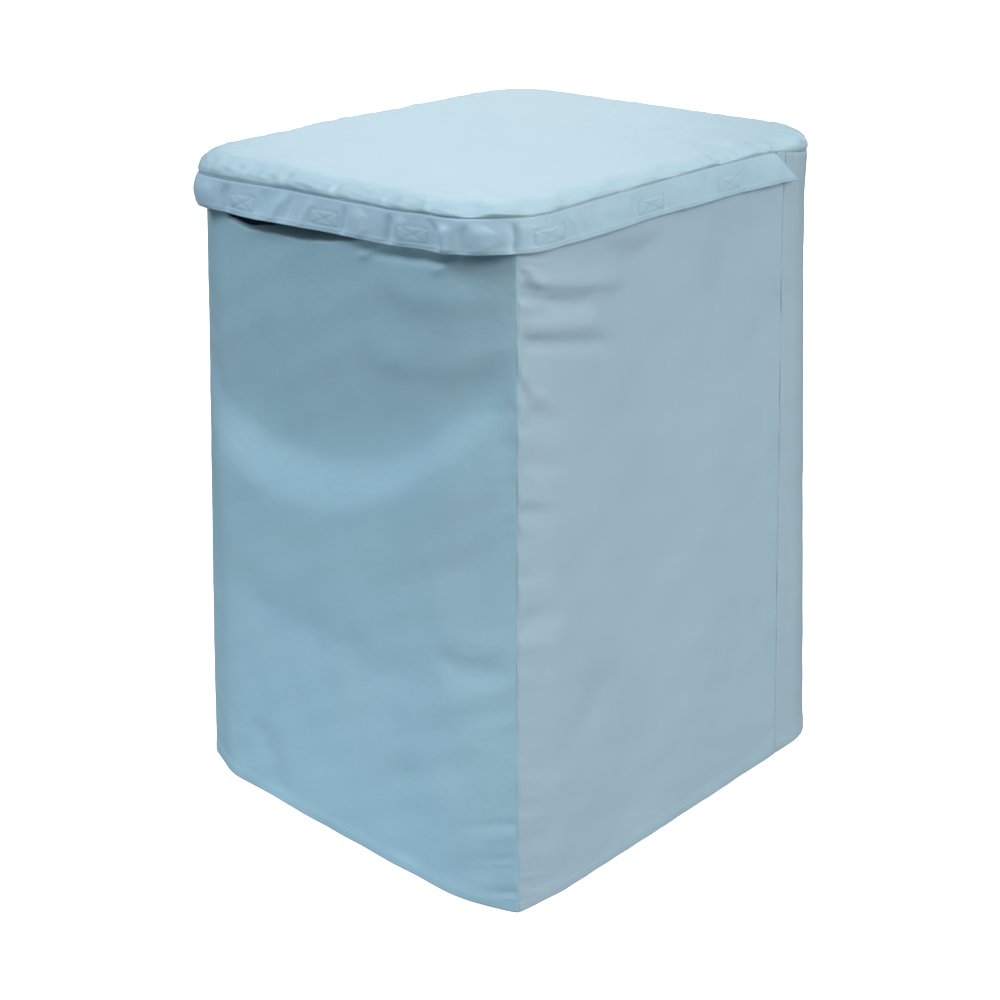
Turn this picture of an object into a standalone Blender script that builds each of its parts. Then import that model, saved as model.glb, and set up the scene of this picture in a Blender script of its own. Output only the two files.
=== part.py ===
# A fitted cloth cover for a washing machine, hanging as it does over the machine's top.
# Metres, +Z up. The origin is at the centre of the underside of the lid, where the machine's top bears.
# The front faces -Y. The cover is open at its hem and between the flap and the slack front edge.
import math
from collections import namedtuple

import bmesh
import bpy
from mathutils import Vector

# Driving sizes
LID_WIDTH = 0.568           # across the front, at the seam under the shoulder
LID_DEPTH = 0.650           # front to back, at that seam
COVER_HEIGHT = 0.883        # crown of the lid to the hem
CORNER_RADIUS = 0.090       # lid corners and the two back corners, in plan
CLOTH = 0.0018              # coated cloth with its seam allowance
SEAM_GAP = 0.0003           # between pieces that are sewn together
SEAM_DROP = 0.0004          # flap and back start this far below the lid's edge
FLARE_WIDTH = 0.032         # how far each side stands out at the hem
FLARE_DEPTH = 0.0245        # how far front and back stand out at the hem
BODY_INSET = 0.0035         # the body hangs this far inside the lid's seam
FLAP_DEPTH = 0.040          # the strip below the seam
FLAP_SLANT = 0.038          # how much further than its sewn edge the flap's lower corner reaches
SHOULDER_INSET = 0.032      # how far in from the seam the crown begins
FLAP_END = 0.192            # the flap is sewn on up to here, behind the centre
SIDE_SEAM = 0.215           # seam between a side and the back panel, behind the centre
SEWN_RUN = 0.048            # over this length before that seam a side comes out to the lid
RISE_END = 0.202            # and by here its upper edge has climbed to the lid's seam,
RISE_RUN = 0.022            # over this length
BODY_TOP = -0.026           # upper edge of the body, under the flap
BELOW_SEAM = 0.008          # and at least this far below the lid's seam
SQUARE_LENGTH = 0.050       # a hook-and-loop square, along the flap
SQUARE_HEIGHT = 0.022
SQUARE_DROP = 0.60          # middle of a square, as a share of the flap's depth
SEW_IN = 0.62               # a sewn edge stops this share of the cloth short, so a corner's cloths clear

# The front corners are sewn edges, not round: each lies on the corner circle, with flat strips beside it
CREASE_IN_TOP, CREASE_IN_HEM = 0.009, 0.012         # inside the side's plane
CREASE_BACK_TOP, CREASE_BACK_HEM = 0.0455, 0.031     # behind the front's plane
STRIP = 0.115               # where a strip starts, from the corner of the two planes
STRIP_BEND = 0.5            # the part of a strip that is curved

CROWN = CLOTH
HEM = CROWN - COVER_HEIGHT
HALF_WIDTH = LID_WIDTH / 2
HALF_DEPTH = LID_DEPTH / 2
MEAN_SEAM = -0.013
HEART = Vector((0, 0, -0.2))                        # a place inside the cover
ARC = CORNER_RADIUS * math.pi / 2
FRONT_RUN = HALF_WIDTH - CORNER_RADIUS              # straight half of the front
SIDE_RUN = LID_DEPTH - 2 * CORNER_RADIUS            # straight part of a side
FULL_RUN = 2 * FRONT_RUN + SIDE_RUN + 2 * ARC       # front centre round to back centre
FLAP_REACH = FRONT_RUN + ARC + SIDE_RUN / 2 + FLAP_END
BACK_START = FRONT_RUN + ARC + SIDE_RUN / 2 + SIDE_SEAM

# Lid, flap and back share these divisions of the way round, so that their sewn edges follow each other
RunRow = namedtuple("RunRow", "end pieces")
RUNS = [
    RunRow(FRONT_RUN, 7), RunRow(FRONT_RUN + ARC, 8), RunRow(FLAP_REACH, 14), RunRow(BACK_START, 1),
    RunRow(FRONT_RUN + ARC + SIDE_RUN, 1), RunRow(FRONT_RUN + 2 * ARC + SIDE_RUN, 8), RunRow(FULL_RUN, 6),
]
ALL_PIECES = sum(row.pieces for row in RUNS)
FLAP_PIECES = sum(row.pieces for row in RUNS[:3])
BACK_PIECES = sum(row.pieces for row in RUNS[4:])

# The seam's height round the lid. "around" is the path from the front's centre, + towards +X.
SeamRow = namedtuple("SeamRow", "around height")
SEAM_LINE = [
    SeamRow(-FULL_RUN, -0.022), SeamRow(-0.880, -0.023), SeamRow(-0.730, -0.013), SeamRow(-0.500, -0.012),
    SeamRow(-0.265, -0.026), SeamRow(-0.190, -0.0225),
    SeamRow(-0.030, -0.018), SeamRow(0.110, -0.016), SeamRow(0.195, -0.012), SeamRow(0.265, -0.010),
    SeamRow(0.340, -0.0125), SeamRow(0.440, -0.0105), SeamRow(0.600, -0.009), SeamRow(0.735, -0.0105),
    SeamRow(0.870, -0.024), SeamRow(FULL_RUN, -0.022),
]

# How the flap stands off the seam's outline, half way down and at its lower edge
FlapRow = namedtuple("FlapRow", "around middle edge")
FLAP_STAND = [
    FlapRow(-0.820, 0.0080, 0.0110), FlapRow(-0.760, 0.0068, 0.0090), FlapRow(-0.680, 0.0032, 0.0040),
    FlapRow(-0.560, 0.0030, 0.0035), FlapRow(-0.400, 0.0035, 0.0030),
    FlapRow(-0.270, 0.0086, 0.0042), FlapRow(-0.160, 0.0040, 0.0035), FlapRow(-0.060, 0.0050, 0.0085),
    FlapRow(0.020, 0.0035, 0.0045), FlapRow(0.095, 0.0045, 0.0065), FlapRow(0.165, 0.0035, 0.0045),
    FlapRow(0.258, 0.0048, 0.0056), FlapRow(0.345, 0.0030, 0.0035), FlapRow(0.430, 0.0045, 0.0075),
    FlapRow(0.515, 0.0030, 0.0035), FlapRow(0.600, 0.0045, 0.0070), FlapRow(0.680, 0.0030, 0.0040),
    FlapRow(0.760, 0.0068, 0.0090), FlapRow(0.820, 0.0080, 0.0115),
]

# Slack upper edge of the front panel: its height and how far it falls in between the fastened places
EdgeRow = namedtuple("EdgeRow", "across height fall")
FRONT_EDGE = [
    EdgeRow(-0.280, -0.034, 0.000), EdgeRow(-0.215, -0.052, 0.001), EdgeRow(-0.165, -0.0675, 0.003),
    EdgeRow(-0.135, -0.068, 0.006), EdgeRow(-0.105, -0.063, 0.011), EdgeRow(-0.070, -0.059, 0.015),
    EdgeRow(-0.030, -0.055, 0.016), EdgeRow(0.010, -0.052, 0.014), EdgeRow(0.050, -0.050, 0.010),
    EdgeRow(0.088, -0.044, 0.005), EdgeRow(0.136, -0.034, 0.001), EdgeRow(0.190, -0.032, 0.001),
    EdgeRow(0.280, -0.030, 0.000),
]
EDGE_FALL_DEPTH = 0.026     # the fall dies out this far below the edge

# Dents and swellings of the lid's shoulder
DentRow = namedtuple("DentRow", "around width depth")
SHOULDER_DENTS = [
    DentRow(0.238, 0.014, 0.0050), DentRow(0.312, 0.016, 0.0040), DentRow(0.275, 0.018, -0.0030),
    DentRow(0.470, 0.020, 0.0025), DentRow(0.560, 0.022, 0.0020), DentRow(0.660, 0.024, 0.0025),
    DentRow(0.775, 0.020, 0.0030), DentRow(-0.120, 0.030, 0.0020), DentRow(0.080, 0.035, 0.0015),
    DentRow(-0.430, 0.022, 0.0025), DentRow(-0.640, 0.025, 0.0025), DentRow(-0.330, 0.090, 0.0035),
]

# Folds: a soft ridge (+) or trough (-) along a curve through three places, "across" the panel and up
Fold = namedtuple("Fold", "across0 up0 across1 up1 across2 up2 width height")
FRONT_FOLDS = [
    Fold(-0.245, -0.365, 0.000, -0.420, 0.290, -0.210, 0.050, 0.0090),
    Fold(-0.250, -0.285, 0.000, -0.346, 0.290, -0.175, 0.045, -0.0150),
    Fold(0.030, -0.190, 0.215, -0.181, 0.305, -0.125, 0.020, 0.0050),
    Fold(0.070, -0.100, 0.215, -0.107, 0.305, -0.068, 0.016, 0.0040),
    Fold(-0.250, -0.540, -0.010, -0.600, 0.170, -0.590, 0.030, -0.0050),
    Fold(-0.250, -0.470, -0.060, -0.510, 0.100, -0.500, 0.040, 0.0040),
    Fold(0.180, -0.525, 0.240, -0.545, 0.290, -0.540, 0.018, -0.0030),
    Fold(-0.170, -0.760, -0.137, -0.820, -0.120, -0.885, 0.024, -0.0045),
    Fold(0.120, -0.700, 0.135, -0.800, 0.140, -0.885, 0.030, -0.0030),
]
SIDE_FOLDS = [
    Fold(-0.285, -0.070, -0.215, -0.072, -0.150, -0.085, 0.009, -0.0035),
    Fold(-0.290, -0.095, -0.210, -0.100, -0.130, -0.120, 0.011, 0.0030),
    Fold(-0.290, -0.120, -0.200, -0.122, -0.120, -0.140, 0.010, -0.0040),
    Fold(-0.290, -0.150, -0.200, -0.148, -0.120, -0.160, 0.012, 0.0030),
    Fold(-0.290, -0.178, -0.205, -0.176, -0.130, -0.190, 0.010, -0.0040),
    Fold(-0.295, -0.215, -0.240, -0.218, -0.180, -0.235, 0.011, -0.0030),
    Fold(-0.300, -0.285, -0.255, -0.284, -0.200, -0.295, 0.012, -0.0030),
    Fold(-0.305, -0.350, -0.262, -0.350, -0.210, -0.360, 0.012, -0.0025),
    Fold(-0.310, -0.480, -0.260, -0.485, -0.200, -0.500, 0.014, -0.0025),
    Fold(-0.110, -0.060, -0.060, -0.180, -0.030, -0.340, 0.035, -0.0040),
    Fold(0.080, -0.300, 0.060, -0.500, 0.070, -0.760, 0.040, 0.0035),
    Fold(-0.200, -0.600, -0.120, -0.700, -0.100, -0.880, 0.045, -0.0040),
]
BACK_FOLDS = [
    Fold(-0.200, -0.090, 0.000, -0.250, 0.210, -0.100, 0.035, -0.0060),
    Fold(-0.230, -0.180, 0.010, -0.360, 0.240, -0.190, 0.030, 0.0040),
    Fold(-0.100, -0.500, -0.110, -0.700, -0.090, -0.880, 0.045, -0.0050),
    Fold(0.140, -0.450, 0.120, -0.650, 0.130, -0.880, 0.045, 0.0040),
]
LID_FOLDS = [
    Fold(-0.220, -0.180, -0.060, -0.140, 0.120, -0.170, 0.030, -0.0012),
    Fold(-0.200, 0.020, 0.050, 0.060, 0.230, 0.020, 0.035, 0.0012),
    Fold(-0.180, 0.220, 0.020, 0.180, 0.200, 0.230, 0.030, -0.0012),
]
FOLD_STEPS = 12             # pieces a fold's curve is measured in
HEM_DROP = 0.004            # the hem hangs this much lower at the front corners
HEM_WAVE = 0.002
CROWN_ROWS = 4              # rings of the lid on its flat crown
SHOULDER_ROWS = 5           # and on its rounded shoulder
CROWN_SHARE = CROWN_ROWS / (CROWN_ROWS + SHOULDER_ROWS)
SHOULDER_TURN = math.radians(104)

# Hook-and-loop squares on the inside of the flap
# A square on a round corner keeps further from the flap, whose facets cut that corner a little short.
SquareRow = namedtuple("SquareRow", "name around clear")
SQUARES = [
    SquareRow("fastener_front_left", -0.135, 0.0004), SquareRow("fastener_front_middle", 0.015, 0.0004),
    SquareRow("fastener_front_right", 0.163, 0.0004), SquareRow("fastener_corner", 0.335, 0.0009),
    SquareRow("fastener_right_front", 0.511, 0.0004), SquareRow("fastener_right_back", 0.662, 0.0004),
    SquareRow("fastener_left_front", -0.511, 0.0004), SquareRow("fastener_left_back", -0.662, 0.0004),
]


def smooth(t):
    t = min(1.0, max(0.0, t))
    return t * t * (3 - 2 * t)


def read(table, place, column):
    """A value from a table at a place along its first column, eased from row to row."""
    if place <= table[0][0]:
        return getattr(table[0], column)
    for low, high in zip(table, table[1:]):
        if place <= high[0]:
            t = smooth((place - low[0]) / (high[0] - low[0]))
            return getattr(low, column) * (1 - t) + getattr(high, column) * t
    return getattr(table[-1], column)


def fold_height(folds, across, up):
    """How far the cloth stands out (+) or falls in (-) at a place on its panel."""
    total = 0.0
    for fold in folds:
        bend_across = 2 * fold.across1 - (fold.across0 + fold.across2) / 2
        bend_up = 2 * fold.up1 - (fold.up0 + fold.up2) / 2
        nearest, along = 1.0, 0.0
        last_x, last_z = fold.across0, fold.up0
        for step in range(1, FOLD_STEPS + 1):
            t = step / FOLD_STEPS
            x = (1 - t) ** 2 * fold.across0 + 2 * t * (1 - t) * bend_across + t * t * fold.across2
            z = (1 - t) ** 2 * fold.up0 + 2 * t * (1 - t) * bend_up + t * t * fold.up2
            run_x, run_z = x - last_x, z - last_z
            part = ((across - last_x) * run_x + (up - last_z) * run_z) / (run_x ** 2 + run_z ** 2)
            part = min(1.0, max(0.0, part))
            away = math.hypot(across - last_x - part * run_x, up - last_z - part * run_z)
            if away < nearest:
                nearest, along = away, (step - 1 + part) / FOLD_STEPS
            last_x, last_z = x, z
        fade = smooth(4 * min(along, 1 - along) + 0.25)
        total += fold.height * fade * math.exp(-(nearest / fold.width) ** 2)
    return total


def ring(around, inset=0.0):
    """A place on the lid's rounded outline, moved inwards by inset."""
    side = 1 if around >= 0 else -1
    run = abs(around)
    radius = CORNER_RADIUS
    if run < FRONT_RUN:
        x, y, angle = run, -HALF_DEPTH, -math.pi / 2
    elif run < FRONT_RUN + ARC:
        angle = -math.pi / 2 + (run - FRONT_RUN) / radius
        x = FRONT_RUN + radius * math.cos(angle)
        y = -HALF_DEPTH + radius + radius * math.sin(angle)
    elif run < FRONT_RUN + ARC + SIDE_RUN:
        x, y, angle = HALF_WIDTH, -HALF_DEPTH + radius + run - FRONT_RUN - ARC, 0.0
    elif run < FRONT_RUN + 2 * ARC + SIDE_RUN:
        angle = (run - FRONT_RUN - ARC - SIDE_RUN) / radius
        x = FRONT_RUN + radius * math.cos(angle)
        y = HALF_DEPTH - radius + radius * math.sin(angle)
    else:
        x, y, angle = FULL_RUN - run, HALF_DEPTH, math.pi / 2
    out_x, out_y = math.cos(angle), math.sin(angle)
    return side * (x - out_x * inset), y - out_y * inset


def way_round(index):
    """The way round the lid to a numbered division, counted from the front's middle."""
    start = 0.0
    for row in RUNS:
        if index <= row.pieces + 0.001:
            return start + (row.end - start) * index / row.pieces
        start, index = row.end, index - row.pieces
    return FULL_RUN


def eased_inset(z, back_share):
    """How far the body hangs inside the seam's outline: nothing at its top where it is sewn to the lid."""
    sewn = BODY_INSET * smooth((MEAN_SEAM - z - 0.004) / 0.080)
    return back_share * sewn + (1 - back_share) * BODY_INSET


def body_halves(z, back_share=0.0):
    """Half width and half depth of the body at a height."""
    drop = (MEAN_SEAM - z) / (MEAN_SEAM - HEM)
    inset = eased_inset(z, back_share)
    return HALF_WIDTH - inset + FLARE_WIDTH * drop, HALF_DEPTH - inset + FLARE_DEPTH * drop


def crease(z):
    """How far the sewn front corner lies inside the side's plane and behind the front's."""
    drop = smooth((MEAN_SEAM - z) / (MEAN_SEAM - HEM))
    inside = CREASE_IN_TOP * (1 - drop) + CREASE_IN_HEM * drop
    behind = CREASE_BACK_TOP * (1 - drop) + CREASE_BACK_HEM * drop
    return inside, behind


def strip_shape(t):
    """From 0 to 1: curved over the first part of a strip, then straight."""
    steep = 1 / (1 - STRIP_BEND / 2)
    return steep * t * t / (2 * STRIP_BEND) if t < STRIP_BEND else steep * (t - STRIP_BEND / 2)


def front_plan(x, z):
    """The front panel in plan, at a place across it."""
    half_width, half_depth = body_halves(z)
    inside, behind = crease(z)
    t = max(0.0, (abs(x) - half_width + STRIP) / (STRIP - inside))
    return x, -half_depth + behind * strip_shape(t)


def side_plan(y, z):
    """The right side in plan, at a place along it."""
    half_width, _ = body_halves(z, smooth((y - SIDE_SEAM + SEWN_RUN) / SEWN_RUN))
    half_depth = body_halves(z)[1]
    inside, behind = crease(z)
    t = max(0.0, (STRIP - half_depth - y) / (STRIP - behind))
    return half_width - inside * strip_shape(t), y


def back_plan(share, z):
    """The back panel in plan: share runs from -1 at the right side's seam to 1 at the left side's."""
    half_width, half_depth = body_halves(z, 1.0)
    wrap = half_depth - CORNER_RADIUS - SIDE_SEAM
    flat = half_width - CORNER_RADIUS
    run = abs(share) * (wrap + ARC + flat)
    if run < flat:
        x, y = run, half_depth
    elif run < flat + ARC:
        angle = (run - flat) / CORNER_RADIUS
        x = flat + CORNER_RADIUS * math.sin(angle)
        y = half_depth - CORNER_RADIUS + CORNER_RADIUS * math.cos(angle)
    else:
        x, y = half_width, half_depth - CORNER_RADIUS - (run - flat - ARC)
    return math.copysign(x, -share), y


def pushed(plan, place, z, away):
    """A place on a panel, moved out of it by away. Every plan runs round the body the same way."""
    step = 0.004
    x0, y0 = plan(place - step, z)
    x1, y1 = plan(place + step, z)
    length = math.hypot(x1 - x0, y1 - y0)
    x, y = plan(place, z)
    return x + (y1 - y0) / length * away, y - (x1 - x0) / length * away, z


def hem_height(x, y):
    """The hem is level but for a slight wave, and drops at the two front corners."""
    wave = HEM_WAVE * math.sin(9.0 * x + 1.0) * math.cos(7.0 * y)
    corner = math.exp(-(((abs(x) - HALF_WIDTH) / 0.045) ** 2 + ((y + HALF_DEPTH) / 0.055) ** 2))
    return HEM + HEM_DROP + wave - HEM_DROP * corner


def front_place(u, v):
    """A place on the front panel: u from -1 to 1 across, v from -1 at the hem to 1 at the upper edge."""
    up = (1 + v) / 2
    sewn = CLOTH * SEW_IN
    across = u * (HALF_WIDTH - BODY_INSET - CREASE_IN_TOP - sewn)
    hem_across = u * (body_halves(HEM)[0] - CREASE_IN_HEM - sewn)
    low = hem_height(*front_plan(hem_across, HEM))
    z = low + up * (read(FRONT_EDGE, across, "height") - low)
    x = u * (body_halves(z)[0] - crease(z)[0] - sewn)
    away = fold_height(FRONT_FOLDS, x, z) * (1 - smooth((abs(u) - 0.86) / 0.14))
    below_edge = (1 - up) * (MEAN_SEAM - HEM)
    away -= read(FRONT_EDGE, across, "fall") * smooth(1 - below_edge / EDGE_FALL_DEPTH)
    return pushed(front_plan, x, z, away)


def side_place(u, v, hand=1):
    """A place on the right side (hand 1): u from -1 at the corner seam to 1 at the back seam."""
    along, up = (1 + u) / 2, (1 + v) / 2
    sewn = CLOTH * SEW_IN
    start = crease(HEM)[1] - body_halves(HEM)[1] + sewn
    y = start + along * (SIDE_SEAM - SEAM_GAP - start)
    low = hem_height(*side_plan(y, HEM))
    rise = smooth((y - RISE_END) / RISE_RUN + 1)
    sewn_at = FRONT_RUN + ARC + SIDE_RUN / 2 + y
    seam = read(SEAM_LINE, hand * sewn_at, "height") - SEAM_DROP
    free = min(BODY_TOP, seam - BELOW_SEAM)
    high = free + rise * (seam - free)
    z = low + up * (high - low)
    start = crease(z)[1] - body_halves(z)[1] + sewn
    y = start + along * (SIDE_SEAM - SEAM_GAP - start)
    away = fold_height(SIDE_FOLDS, y, z) * smooth(along / 0.06) * smooth((1 - along) / 0.10)
    away *= smooth((high - 0.030 - z) / 0.030)
    x, y, z = pushed(side_plan, y, z, away)
    return hand * x, y, z


def left_side_place(u, v):
    return side_place(u, v, -1)


def back_place(u, v):
    """A place on the back panel: u from -1 to 1 round it, v from -1 at the hem to 1 at the lid's seam."""
    up = (1 + v) / 2
    around = way_round(ALL_PIECES - abs(u) * BACK_PIECES)
    share = math.copysign((FULL_RUN - around) / (FULL_RUN - BACK_START), u)
    low = hem_height(*back_plan(share, HEM))
    high = read(SEAM_LINE, math.copysign(around, -u), "height") - SEAM_DROP
    z = low + up * (high - low)
    x, y = back_plan(share, z)
    flat = smooth((0.62 - abs(share)) / 0.2) * smooth((high - 0.020 - z) / 0.060)
    return pushed(back_plan, share, z, fold_height(BACK_FOLDS, x, z) * flat)


def lid_place(u, v):
    """A place on the lid: u from -1 to 1 all the way round, v from -1 in the middle to 1 at the seam."""
    around = math.copysign(way_round(abs(u) * ALL_PIECES), u)
    rise = (1 + v) / 2
    if rise <= CROWN_SHARE:
        x, y = ring(around, SHOULDER_INSET)
        x, y = x * rise / CROWN_SHARE, y * rise / CROWN_SHARE
        return x, y, CROWN + fold_height(LID_FOLDS, x, y) * smooth(6 * math.hypot(x, y))
    t = (rise - CROWN_SHARE) / (1 - CROWN_SHARE)
    angle = t * SHOULDER_TURN
    dent = sum(row.depth * math.exp(-((around - row.around) / row.width) ** 2) for row in SHOULDER_DENTS)
    dent *= math.sin(t * math.pi)
    x, y = ring(around, SHOULDER_INSET * (1 - math.sin(angle)) + dent)
    drop = CROWN - read(SEAM_LINE, around, "height")
    drop *= (1 - math.cos(angle)) / (1 - math.cos(SHOULDER_TURN))
    return x, y, CROWN - drop - dent / 2 + fold_height(LID_FOLDS, x, y) * (1 - t)


def flap_place(u, v):
    """A place on the flap: u from -1 to 1 round it, v from 1 at the seam to -1 at its lower edge."""
    sewn_at = math.copysign(way_round(abs(u) * FLAP_PIECES), u)
    return flap_spot(sewn_at, (1 - v) / 2, 0.0)


def flap_spot(sewn_at, down, inside):
    """A place on the flap by its way round and its share of the depth, moved inwards by inside."""
    reach = smooth((abs(sewn_at) - FLAP_REACH) / 0.07 + 1)
    around = sewn_at + math.copysign(FLAP_SLANT * down * reach, sewn_at)
    middle, edge = read(FLAP_STAND, around, "middle"), read(FLAP_STAND, around, "edge")
    stand = 4 * down * (1 - down) * (middle - edge / 2) + down * edge
    x, y = ring(around, SHOULDER_INSET * (1 - math.sin(SHOULDER_TURN)) - stand + inside)
    top = read(SEAM_LINE, sewn_at, "height") - SEAM_DROP
    return x, y, top - FLAP_DEPTH * down


def body_skin(around, z, clear):
    """The body's outer face behind a place on the flap, with a little clearance."""
    x, y = ring(abs(around), BODY_INSET)
    if x < body_halves(z)[0] - crease(z)[0]:
        x, y, z = pushed(front_plan, x, z, clear)
    else:
        x, y, z = pushed(side_plan, y, z, clear)
    return math.copysign(x, around), y, z


def show(name, mesh, material):
    """Puts a finished mesh in the cover's collection."""
    mesh.materials.append(material)
    piece = bpy.data.objects.new(name, mesh)
    parts.objects.link(piece)
    return piece


def cloth(name, columns, rows, place, material):
    """A sheet: a flat grid moved to its place, with its thickness added on the inside."""
    grid = bmesh.new()
    bmesh.ops.create_grid(grid, x_segments=columns, y_segments=rows, size=1.0)
    for point in grid.verts:
        point.co = place(point.co.x, point.co.y)
    bmesh.ops.remove_doubles(grid, verts=grid.verts, dist=SEAM_GAP / 10)
    grid.normal_update()
    outwards = sum(face.normal.dot(face.calc_center_median() - HEART) for face in grid.faces)
    if outwards < 0:
        bmesh.ops.reverse_faces(grid, faces=grid.faces)
    mesh = bpy.data.meshes.new(name)
    grid.to_mesh(mesh)
    grid.free()
    mesh.shade_smooth()
    sheet = show(name, mesh, material)
    thick = sheet.modifiers.new("thickness", "SOLIDIFY")
    thick.thickness = CLOTH
    thick.offset = -1
    return sheet


def fastener(row, material):
    """A hook-and-loop pair between flap and body: a block whose two faces follow them."""
    block = bmesh.new()
    bmesh.ops.create_cube(block, size=2.0)
    lengthwise = [edge for edge in block.edges if abs(edge.verts[0].co.x - edge.verts[1].co.x) > 1]
    bmesh.ops.subdivide_edges(block, edges=lengthwise, cuts=3, use_grid_fill=True)
    for point in block.verts:
        around = row.around + point.co.x * SQUARE_LENGTH / 2
        drop = SQUARE_DROP * FLAP_DEPTH - point.co.z * SQUARE_HEIGHT / 2
        x, y, z = flap_spot(around, drop / FLAP_DEPTH, CLOTH + row.clear)
        point.co = (x, y, z) if point.co.y > 0 else body_skin(around, z, row.clear)
    if block.calc_volume(signed=True) < 0:
        bmesh.ops.reverse_faces(block, faces=block.faces)
    mesh = bpy.data.meshes.new(row.name)
    block.to_mesh(mesh)
    block.free()
    return show(row.name, mesh, material)


def coated_cloth(name, colour):
    """Thin coated polyester: one even colour and a soft sheen."""
    made = bpy.data.materials.new(name)
    made.use_nodes = True
    shader = made.node_tree.nodes["Principled BSDF"]
    shader.inputs["Base Color"].default_value = (*colour, 1.0)
    shader.inputs["Roughness"].default_value = 0.55
    shader.inputs["Metallic"].default_value = 0.0
    made.diffuse_color = (*colour, 1.0)
    return made


for old in list(bpy.data.objects):
    bpy.data.objects.remove(old)
parts = bpy.data.collections.new("washing_machine_cover")
bpy.context.scene.collection.children.link(parts)

lid_rows = CROWN_ROWS + SHOULDER_ROWS
cloth("lid_top", 2 * ALL_PIECES, lid_rows, lid_place, coated_cloth("lid cloth", (0.56, 0.72, 0.78)))
cloth("lid_flap", 2 * FLAP_PIECES, 3, flap_place, coated_cloth("flap cloth", (0.42, 0.58, 0.66)))
cloth("front_panel", 24, 28, front_place, coated_cloth("front cloth", (0.21, 0.35, 0.41)))
cloth("side_panel_right", 17, 25, side_place, coated_cloth("right side cloth", (0.32, 0.44, 0.51)))
cloth("side_panel_left", 14, 18, left_side_place, coated_cloth("left side cloth", (0.32, 0.44, 0.51)))
cloth("back_panel", 2 * BACK_PIECES, 13, back_place, coated_cloth("back cloth", (0.30, 0.42, 0.49)))
for place_row in SQUARES:
    fastener(place_row, coated_cloth(place_row.name.replace("_", " "), (0.55, 0.62, 0.65)))
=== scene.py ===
# A fitted washing machine cover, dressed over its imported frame: coated cloth panels with their folds,
# turned hems, box-stitched hook-and-loop squares, and a plain studio.
# Metres, +Z up; the front with the slack upper edge faces -Y.
import math

import bmesh
import bpy
import numpy as np
from mathutils import Matrix, Vector


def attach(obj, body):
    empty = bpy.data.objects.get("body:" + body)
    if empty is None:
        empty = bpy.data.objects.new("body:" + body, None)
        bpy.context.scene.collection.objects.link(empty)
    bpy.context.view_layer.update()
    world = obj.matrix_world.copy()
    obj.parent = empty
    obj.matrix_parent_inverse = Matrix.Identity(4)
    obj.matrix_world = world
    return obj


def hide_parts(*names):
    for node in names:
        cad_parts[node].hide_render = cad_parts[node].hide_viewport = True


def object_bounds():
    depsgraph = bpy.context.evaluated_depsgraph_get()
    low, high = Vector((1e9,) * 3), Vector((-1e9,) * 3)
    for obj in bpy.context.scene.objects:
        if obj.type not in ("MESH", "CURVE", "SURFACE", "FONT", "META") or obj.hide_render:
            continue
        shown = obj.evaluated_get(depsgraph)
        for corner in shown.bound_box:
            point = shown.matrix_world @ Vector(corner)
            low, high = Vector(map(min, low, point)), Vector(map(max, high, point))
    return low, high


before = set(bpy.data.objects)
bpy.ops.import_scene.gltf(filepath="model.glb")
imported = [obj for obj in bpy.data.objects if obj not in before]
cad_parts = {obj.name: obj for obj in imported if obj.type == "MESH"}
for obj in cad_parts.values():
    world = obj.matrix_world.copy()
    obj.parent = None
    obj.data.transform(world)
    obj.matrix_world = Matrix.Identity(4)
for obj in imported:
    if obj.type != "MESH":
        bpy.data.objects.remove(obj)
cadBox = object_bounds()
print("frame loaded")

# Sizes of the cut, the same as in the construction model
cover = {
    "width": 0.568, "depth": 0.650, "height": 0.883, "cornerRadius": 0.090,
    "flareWidth": 0.032, "flareDepth": 0.0245, "bodyInset": 0.0035, "crown": 0.0018,
    "shoulderInset": 0.032, "shoulderTurn": math.radians(104), "meanSeam": -0.013,
    "sideSeam": 0.215, "sewnRun": 0.048, "riseEnd": 0.199, "riseRun": 0.022, "bodyTop": -0.026, "belowSeam": 0.008,
    "creaseIn": (0.009, 0.012), "creaseBack": (0.0455, 0.031), "strip": 0.115, "stripBend": 0.5,
    "hemDrop": 0.004, "hemWave": 0.002,
}
halfWidth, halfDepth = cover["width"] / 2, cover["depth"] / 2
hem = cover["crown"] - cover["height"]
arcRun = cover["cornerRadius"] * math.pi / 2
frontRun = halfWidth - cover["cornerRadius"]
sideRun = cover["depth"] - 2 * cover["cornerRadius"]
fullRun = 2 * frontRun + sideRun + 2 * arcRun
flapReach = frontRun + arcRun + sideRun / 2 + 0.192
backStart = frontRun + arcRun + sideRun / 2 + cover["sideSeam"]

# Height of the seam under the lid's shoulder: (way round from the front's middle, height)
seamLine = [
    (-fullRun, -0.022), (-0.880, -0.023), (-0.730, -0.013), (-0.500, -0.012), (-0.265, -0.026),
    (-0.190, -0.0225), (-0.030, -0.018), (0.110, -0.016), (0.195, -0.012), (0.265, -0.010),
    (0.340, -0.0125), (0.440, -0.0105), (0.600, -0.009), (0.735, -0.0105), (0.870, -0.024), (fullRun, -0.022),
]


# ---- helpers for shapes
def smooth(t):
    t = np.clip(t, 0.0, 1.0)
    return t * t * (3 - 2 * t)


def easedRow(rows, place, column=1):
    # a value from a short table, eased from row to row
    at = np.array([row[0] for row in rows])
    value = np.array([row[column] for row in rows])
    k = np.clip(np.searchsorted(at, place, side="right") - 1, 0, len(at) - 2)
    t = smooth((place - at[k]) / (at[k + 1] - at[k]))
    return value[k] * (1 - t) + value[k + 1] * t


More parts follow.
